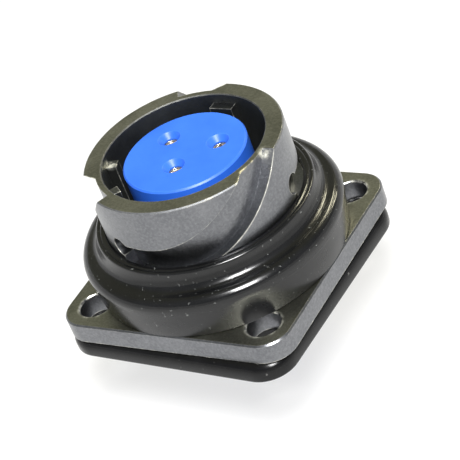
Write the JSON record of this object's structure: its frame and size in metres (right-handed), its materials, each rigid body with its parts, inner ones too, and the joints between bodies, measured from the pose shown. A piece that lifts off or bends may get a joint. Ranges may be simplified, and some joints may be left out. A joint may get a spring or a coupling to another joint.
{
  "type": "circular connector receptacle",
  "caption": "Box-mounting circular power receptacle with a square flange, bayonet slots in its barrel, a coupling seal ring, a flange gasket and a blue socket insert.",
  "frame": {"origin": "centre of the square flange's rear face, the face that looks at the panel", "axes": "+Z along the connector's axis to the mating end; +Y towards the main polarising key; the flange's sides are along X and Y"},
  "size_m": [0.034, 0.0342, 0.0324],
  "materials": {
    "plated_shell": "satin plated casting, worn bright at the edges",
    "black_rubber": "smooth, slightly glossy moulded rubber",
    "gasket_rubber": "matt sheet rubber",
    "blue_insulator": "smooth matt moulded resin",
    "spring_steel": "plain spring steel",
    "gold_contact": "gold plated copper alloy",
    "hood_steel": "thin stainless sleeve"
  },
  "bodies": {
    "root": {"shell": "plated_shell", "coupling_seal_ring": "black_rubber", "flange_gasket": "gasket_rubber", "front_insulator": "blue_insulator", "rear_insulator": "blue_insulator", "insert_seal": "gasket_rubber", "pressure_washer": "spring_steel", "snap_ring": "spring_steel", "socket_contact_1": "gold_contact", "socket_contact_2": "gold_contact", "socket_contact_3": "gold_contact", "contact_hood_1": "hood_steel", "contact_hood_2": "hood_steel", "contact_hood_3": "hood_steel"}
  },
  "joints": []
}
